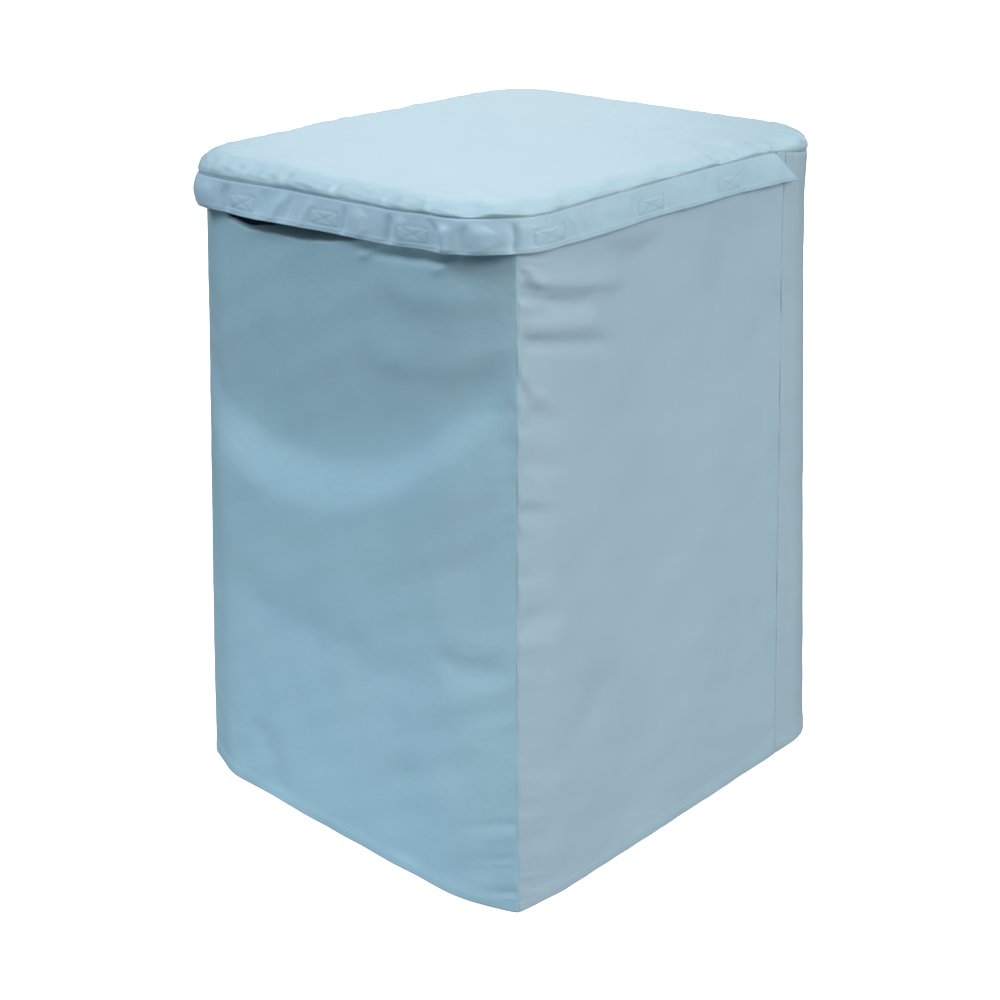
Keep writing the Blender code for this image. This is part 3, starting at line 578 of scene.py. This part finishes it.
def sidePlace(u, up, lift=0.0, amount=1.0, turn=1.0):
    startY = cover["creaseBack"][1] - bodyHalves(hem)[1]
    y = startY + u * (cover["sideSeam"] - startY)
    low = hemHeight(*sidePlan(y, hem))
    rise = smooth((y - cover["riseEnd"]) / cover["riseRun"] + 1)
    seam = easedRow(seamLine, turn * (frontRun + arcRun + sideRun / 2 + y)) - flap["seamDrop"]
    free = np.minimum(cover["bodyTop"], seam - cover["belowSeam"])
    high = free + rise * (seam - free)
    z = low + up * (high - low)
    startY = cornerCrease(z)[1] - bodyHalves(z)[1]
    y = startY + u * (cover["sideSeam"] - startY)
    fromFront, fromBack = y - startY, cover["sideSeam"] - y
    away = amount * foldHeight(side["folds"], y, z) * smooth(fromFront / 0.020) * smooth(fromBack / 0.040)
    away = away * smooth((high - 0.028 - z) / 0.022)
    fade = 0.35 + 0.65 * smooth((z + 0.62) / 0.30)
    puckers = seamPuckers(fromFront, z, side["puckers"], 41) * fade + seamPuckers(fromBack, z, 0.0003, 51)
    away = away + puckers * smooth((high - 0.012 - z) / 0.03) + 0.0004 * softNoise(y, z, 0.070, 61)
    away = away + seamDip(fromFront, 0.0024, 0.0006) + seamDip(fromBack, 0.0022, 0.0008) + hemStep(z - low) + lift
    x, y, z = pushedOut(sidePlan, y, z, away)
    return turn * x, y, z


def leftPlace(u, up, lift=0.0):
    return sidePlace(u, up, lift, 0.8, -1.0)


def backPlace(share, up, lift=0.0):
    low = hemHeight(*backPlan(share, hem))
    around = np.where(share < 0, 1.0, -1.0) * (fullRun - np.abs(share) * (fullRun - backStart))
    high = easedRow(seamLine, around) - flap["seamDrop"]
    z = low + up * (high - low)
    x, y = backPlan(share, z)
    fromSeam = (1 - np.abs(share)) * (fullRun - backStart)
    flat = smooth((0.62 - np.abs(share)) / 0.2) * smooth((high - 0.020 - z) / 0.060)
    away = foldHeight(back["folds"], x, z) * flat + seamPuckers(fromSeam, z, 0.0003, 71)
    away = away + 0.0004 * softNoise(x, z, 0.080, 81) * smooth(fromSeam / 0.03) + seamDip(fromSeam, 0.0022, 0.0008)
    away = away + seamDip(high - z, 0.0022, 0.0018) + 0.0004 * softNoise(share, 0.0, 0.05, 85) * np.exp(-(high - z) / 0.03)
    return pushedOut(backPlan, share, z, away + hemStep(z - low) + lift)


def finerAtEnds(low, high, count, bite):
    # grid lines that lie closer together at both ends
    t = np.linspace(0, 1, count)
    return low + (high - low) * (t - bite * np.sin(2 * math.pi * t) / (2 * math.pi))


bodyRows = finerAtEnds(0, 1, 190, 0.55)
panelTall = 0.855
frontPanel = clothMesh(
    "frontPanel", finerAtEnds(-1, 1, 150, 0.7), bodyRows, frontPlace,
    lambda u, up: (u * 0.295, up * panelTall), frontClothPaintedShade,
)
sidePanelRight = clothMesh(
    "sidePanelRight", finerAtEnds(0, 1, 140, 0.7), bodyRows, sidePlace,
    lambda u, up: (u * 0.510, up * panelTall), sideClothPaintedShade,
)
sidePanelLeft = clothMesh(
    "sidePanelLeft", finerAtEnds(0, 1, 110, 0.7), bodyRows, leftPlace,
    lambda u, up: (u * 0.510, up * panelTall), sideClothPaintedShade,
)
backPanel = clothMesh(
    "backPanel", finerAtEnds(-1, 1, 200, 0.6), bodyRows, backPlace,
    lambda share, up: (share * (fullRun - backStart), up * panelTall), backClothPaintedShade,
)
print("body made")


# ---- hook-and-loop squares, a hook pad under the flap and a loop pad on the body
def bodySkin(around, z, clear):
    x, y = ringPlace(np.abs(around), cover["bodyInset"])
    onFront = pushedOut(frontPlan, x, z, clear)
    onSide = pushedOut(sidePlan, y, z, clear)
    corner = x < bodyHalves(z)[0] - cornerCrease(z)[0]
    picked = [np.where(corner, a, b) for a, b in zip(onFront, onSide)]
    return np.stack([np.sign(around) * picked[0], picked[1], picked[2]], axis=-1)


def squarePads(name, middle):
    u, v = np.meshgrid(np.linspace(-1, 1, 27), np.linspace(-1, 1, 13))
    squeeze = 1 - 0.05 * np.clip(np.abs(u * v) - 0.72, 0, 1)      # slightly rounded corners
    around = middle + u * squeeze * flap["squareLength"] / 2
    below = flap["squareDrop"] - v * squeeze * flap["squareHeight"] / 2
    outer = np.stack(flapPlace(around, below / flap["depth"], 0.0022, 0.0), axis=-1)
    inner = bodySkin(around, outer[..., 2], 0.0006)
    rim = smooth(6 * (1 - np.maximum(np.abs(u), np.abs(v))))[..., None]
    half = 0.5 - 0.03
    layers = [(outer, outer + (inner - outer) * half * (0.75 + 0.25 * rim)),
              (inner + (outer - inner) * half * (0.75 + 0.25 * rim), inner)]
    work = bmesh.new()
    for near, far in layers:
        shell = []
        for grid in (near, far):
            shell.append([[work.verts.new(spot) for spot in row] for row in grid.tolist()])
        for k, rows in enumerate(shell):
            for i in range(len(rows) - 1):
                for j in range(len(rows[0]) - 1):
                    corners = [rows[i][j], rows[i][j + 1], rows[i + 1][j + 1], rows[i + 1][j]]
                    work.faces.new(corners if k == 0 else corners[::-1])
        edge = [(0, j) for j in range(26)] + [(i, 26) for i in range(12)]
        edge += [(12, j) for j in range(26, 0, -1)] + [(i, 0) for i in range(12, 0, -1)]
        for (i, j), (m, n) in zip(edge, edge[1:] + edge[:1]):
            work.faces.new([shell[0][m][n], shell[0][i][j], shell[1][i][j], shell[1][m][n]])
    bmesh.ops.recalc_face_normals(work, faces=work.faces)
    mesh = bpy.data.meshes.new(name)
    work.to_mesh(mesh)
    work.free()
    mesh.shade_smooth()
    mesh.materials.append(squareTape)
    piece = bpy.data.objects.new(name, mesh)
    bpy.context.scene.collection.objects.link(piece)
    return piece


squarePieces = {key: squarePads("tapeSquare_" + key, middle) for key, middle in flap["squares"].items()}
print("squares made")

# ---- stitches, laid along paths on the cloth
sewing = {"pitch": 0.0034, "stitch": 0.0026, "thread": 0.0007, "lift": 0.00015}


def stitchTree():
    tree = bpy.data.node_groups.new("stitchRun", "GeometryNodeTree")
    sockets = {}
    tree.interface.new_socket("Geometry", in_out="INPUT", socket_type="NodeSocketGeometry")
    for key in ("Pitch", "Stitch Length", "Thread Width"):
        sockets[key] = tree.interface.new_socket(key, in_out="INPUT", socket_type="NodeSocketFloat").identifier
    sockets["Thread"] = tree.interface.new_socket("Thread", in_out="INPUT", socket_type="NodeSocketMaterial").identifier
    tree.interface.new_socket("Geometry", in_out="OUTPUT", socket_type="NodeSocketGeometry")
    given = addNode(tree, "NodeGroupInput").outputs
    path = addNode(tree, "GeometryNodeMeshToCurve", Mesh=given["Geometry"]).outputs["Curve"]
    points = addNode(tree, "GeometryNodeResampleCurve", {"mode": "LENGTH"}, Curve=path, Length=given["Pitch"]).outputs["Curve"]
    half = addNode(tree, "ShaderNodeMath", {"operation": "MULTIPLY"}, _0=given["Stitch Length"], _1=0.5).outputs[0]
    round_ = addNode(tree, "ShaderNodeMath", {"operation": "MULTIPLY"}, _0=given["Thread Width"], _1=0.5).outputs[0]
    size = addNode(tree, "ShaderNodeCombineXYZ", X=half, Y=round_, Z=round_).outputs[0]
    bead = addNode(tree, "GeometryNodeMeshUVSphere", Segments=6, Rings=5, Radius=1.0).outputs["Mesh"]
    stitch = addNode(tree, "GeometryNodeTransform", Geometry=bead, Scale=size).outputs["Geometry"]
    along = addNode(tree, "GeometryNodeInputTangent").outputs[0]
    out = addNode(tree, "GeometryNodeInputNamedAttribute", {"data_type": "FLOAT_VECTOR"}, Name="out").outputs["Attribute"]
    turned = addNode(tree, "FunctionNodeAlignRotationToVector", {"axis": "X"}, Vector=along).outputs[0]
    settled = addNode(tree, "FunctionNodeAlignRotationToVector", {"axis": "Z", "pivot_axis": "X"}, Rotation=turned, Vector=out).outputs[0]
    laid = addNode(tree, "GeometryNodeInstanceOnPoints", Points=points, Instance=stitch, Rotation=settled).outputs["Instances"]
    real = addNode(tree, "GeometryNodeRealizeInstances", Geometry=laid).outputs["Geometry"]
    round2 = addNode(tree, "GeometryNodeSetShadeSmooth", Geometry=real).outputs["Geometry"]
    dyed = addNode(tree, "GeometryNodeSetMaterial", Geometry=round2, Material=given["Thread"]).outputs["Geometry"]
    addNode(tree, "NodeGroupOutput", Geometry=dyed)
    return tree, sockets


stitchRun, stitchSockets = stitchTree()


def pathOn(place, u, v):
    # points of a path on a panel and the directions out of the cloth there
    e = 0.002
    centre = np.stack(np.broadcast_arrays(*place(u, v)), axis=-1)
    a = np.stack(np.broadcast_arrays(*place(u + e, v)), axis=-1) - np.stack(np.broadcast_arrays(*place(u - e, v)), axis=-1)
    b = np.stack(np.broadcast_arrays(*place(u, v + e)), axis=-1) - np.stack(np.broadcast_arrays(*place(u, v - e)), axis=-1)
    out = np.cross(a, b)
    out /= np.linalg.norm(out, axis=-1)[..., None]
    away = np.sign(np.sum(out * centre * np.array([1, 1, 0]), axis=-1))
    out = out * away[..., None]
    return centre + out * sewing["lift"], out


def stitches(name, paths, thread):
    # one mesh of all the stitches along some paths
    spots, outs, edges = [], [], []
    for centre, out in paths:
        start = len(spots)
        spots += centre.tolist()
        outs += out.tolist()
        edges += [(k, k + 1) for k in range(start, len(spots) - 1)]
    mesh = bpy.data.meshes.new(name + "Path")
    mesh.from_pydata(spots, edges, [])
    mesh.attributes.new("out", "FLOAT_VECTOR", "POINT").data.foreach_set("vector", np.array(outs).ravel())
    guide = bpy.data.objects.new(name + "Path", mesh)
    bpy.context.scene.collection.objects.link(guide)
    run = guide.modifiers.new("stitches", "NODES")
    run.node_group = stitchRun
    run[stitchSockets["Pitch"]] = sewing["pitch"]
    run[stitchSockets["Stitch Length"]] = sewing["stitch"]
    run[stitchSockets["Thread Width"]] = sewing["thread"]
    run[stitchSockets["Thread"]] = thread
    ready = guide.evaluated_get(bpy.context.evaluated_depsgraph_get())
    sewn = bpy.data.meshes.new_from_object(ready)
    bpy.data.objects.remove(guide)
    sewn.name = name
    piece = bpy.data.objects.new(name, sewn)
    bpy.context.scene.collection.objects.link(piece)
    return piece


def boxPaths():
    # a border and two diagonals in each square
    wide, tall = flap["squareLength"] / 2 - flap["stitchInset"], flap["squareHeight"] / 2 - flap["stitchInset"]
    corners = [(-1, -1), (1, -1), (1, 1), (-1, 1), (-1, -1), (1, 1), (1, -1), (-1, 1)]
    steps = np.linspace(0, 1, 26)
    for middle in flap["squares"].values():
        for (a0, b0), (a1, b1) in zip(corners, corners[1:]):
            if (a0, b0, a1, b1) == (1, 1, 1, -1):
                continue
            u = middle + wide * (a0 + (a1 - a0) * steps)
            v = (flap["squareDrop"] + tall * (b0 + (b1 - b0) * steps)) / flap["depth"]
            yield pathOn(flapPlace, u, v)


boxStitches = stitches("boxStitches", list(boxPaths()), paleThread)
run = np.linspace(-flapReach + 0.003, flapReach - 0.003, 900)
flapStitches = stitches("flapHemStitches", [pathOn(flapPlace, run, np.full(900, 1 - 0.0045 / flap["depth"]))], paleThread)
lidRun = np.linspace(-fullRun, fullRun, 1100)
lidLine = np.full(1100, lidShare + (1 - lidShare) * lid["stitchedAt"])
lidStitches = stitches("lidSeamStitches", [pathOn(lidPlace, lidRun, lidLine)], paleThread)
hemUp = 0.0150 / panelTall
hemPaths = [
    pathOn(frontPlace, np.linspace(-0.985, 0.985, 260), np.full(260, hemUp)),
    pathOn(sidePlace, np.linspace(0.01, 0.99, 240), np.full(240, hemUp)),
    pathOn(leftPlace, np.linspace(0.01, 0.99, 240), np.full(240, hemUp)),
    pathOn(backPlace, np.linspace(-0.985, 0.985, 320), np.full(320, hemUp)),
]
hemStitches = stitches("hemStitches", hemPaths, paleThread)
print("stitches made")

# ---- which piece stands for which node
sheets = [
    (lidTop, "lid_top", "lid_cloth", (0.660, 0.740), "draped"),
    (lidFlap, "lid_flap", "flap_cloth", (0.042, 1.640), "hung"),
    (frontPanel, "front_panel", "front_cloth", (0.605, 0.860), "hung"),
    (sidePanelRight, "side_panel_right", "side_cloth", (0.560, 0.865), "hung"),
    (sidePanelLeft, "side_panel_left", "side_cloth", (0.560, 0.865), "hung"),
    (backPanel, "back_panel", "side_cloth", (0.790, 0.870), "hung"),
]
for piece, node, finish, flatSize, held in sheets:
    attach(piece, "root")
    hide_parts(node)
    area = sheetArea(piece)
    print(piece.name, "cut", flatSize, "cloth area", round(area, 4), "of", round(flatSize[0] * flatSize[1], 4))
for key, piece in squarePieces.items():
    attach(piece, "root")
    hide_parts("fastener_" + key)
for piece, finish in ((boxStitches, "flap_cloth"), (flapStitches, "flap_cloth"), (hemStitches, "flap_cloth"), (lidStitches, "lid_cloth")):
    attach(piece, "root")


# ---- the studio
def areaLight(name, place, size, power, colour, target=heart):
    light = bpy.data.lights.new(name, "AREA")
    light.shape = "RECTANGLE"
    light.size, light.size_y = size
    light.energy = power
    light.color = hexColour(colour)[:3]
    lamp = bpy.data.objects.new(name, light)
    bpy.context.scene.collection.objects.link(lamp)
    lamp.location = place
    lamp.rotation_euler = (target - lamp.location).to_track_quat("-Z", "Y").to_euler()
    lamp.visible_camera = False
    return lamp


studio = {"skyLow": 0.03, "skyHigh": 0.46, "floor": 0.92, "floorGlow": 1.0}
scene = bpy.context.scene
scene.view_settings.view_transform = "Standard"
world = bpy.data.worlds.new("studio")
world.use_nodes = True
skyTree = world.node_tree
skyward = addNode(skyTree, "ShaderNodeTexCoord").outputs["Generated"]
skyHeight = addNode(skyTree, "ShaderNodeSeparateXYZ", Vector=skyward).outputs["Z"]
skyLevel = addNode(
    skyTree, "ShaderNodeMapRange", Value=skyHeight, From_Min=-0.10, From_Max=0.55,
    To_Min=studio["skyLow"], To_Max=studio["skyHigh"],
).outputs["Result"]
skyTree.nodes["Background"].inputs["Color"].default_value = hexColour("#f4faff")
skyTree.links.new(skyLevel, skyTree.nodes["Background"].inputs["Strength"])
scene.world = world
floorMesh = bpy.data.meshes.new("floor")
floorZ = cadBox[0][2] - 0.002
sweep = [(14.0, 0.0), (17.0, 0.6), (19.2, 2.8), (20.0, 6.0), (20.0, 30.0)]      # how far out, how high: a floor that turns up
turn = np.linspace(0, 2 * math.pi, 49)[:-1]
ringSpots = [(far * math.cos(a), far * math.sin(a), floorZ + high) for far, high in sweep for a in turn]
ringFaces = [(k * 48 + i, k * 48 + (i + 1) % 48, (k + 1) * 48 + (i + 1) % 48, (k + 1) * 48 + i) for k in range(4) for i in range(48)]
floorMesh.from_pydata(ringSpots, [], [tuple(range(48))] + ringFaces)
floor = bpy.data.objects.new("floor", floorMesh)
scene.collection.objects.link(floor)
paper = bpy.data.materials.new("white paper sweep")
paper.use_nodes = True
paperShader = paper.node_tree.nodes["Principled BSDF"]
paperShader.inputs["Base Color"].default_value = (studio["floor"],) * 3 + (1.0,)
paperShader.inputs["Roughness"].default_value = 0.9
paperShader.inputs["Emission Color"].default_value = (1.0, 1.0, 1.0, 1.0)
paperShader.inputs["Emission Strength"].default_value = studio["floorGlow"]
floorMesh.materials.append(paper)
floor.visible_diffuse = False       # so that folds are lit from above and not flattened by the floor
floor.visible_glossy = False
floor.visible_shadow = False        # the two low lamps stand partly under it
lowOnFront, lowOnRight, lowBehind = Vector((0, -0.33, -0.95)), Vector((0.31, 0, -0.80)), Vector((0, 0.33, -0.50))
areaLight("rightWindow", (5.0, 0.7, 2.2), (3.0, 3.0), 148, "#fffdfa")
areaLight("frontHigh", (-1.7, -3.2, 4.2), (2.0, 2.0), 138, "#e9f5ff")
areaLight("frontLow", (0.0, -1.2, -0.86), (1.2, 0.3), 3.7, "#e6f4ff", lowOnFront)
areaLight("rightLow", (1.5, 0.1, -0.8), (0.3, 1.2), 3.2, "#f4faff", lowOnRight)
areaLight("backFill", (-3.6, 3.6, 1.6), (2.0, 2.0), 20, "#ffffff")
areaLight("backLow", (-1.7, 2.4, -0.5), (1.2, 0.6), 24, "#ffffff", lowBehind)

camera = bpy.data.objects.new("camera", bpy.data.cameras.new("camera"))
scene.collection.objects.link(camera)
camera.data.lens = 64.94
camera.data.sensor_width = 36.0
view = {"azimuth": math.radians(43.62), "elevation": math.radians(22.31), "roll": math.radians(-0.8742)}
sinA, cosA = math.sin(view["azimuth"]), math.cos(view["azimuth"])
sinE, cosE = math.sin(view["elevation"]), math.cos(view["elevation"])
backward = np.array([sinA * cosE, -cosA * cosE, sinE])
right = np.array([cosA, sinA, 0.0])
upward = np.cross(backward, right)
sinR, cosR = math.sin(view["roll"]), math.cos(view["roll"])
turned = [right * cosR + upward * sinR, upward * cosR - right * sinR, backward]
rows = [list(row) + [place] for row, place in zip(np.array(turned).T, (1.58987, -1.691075, 0.45007))]
camera.matrix_world = Matrix(rows + [[0, 0, 0, 1]])
scene.camera = camera
print("studio made")
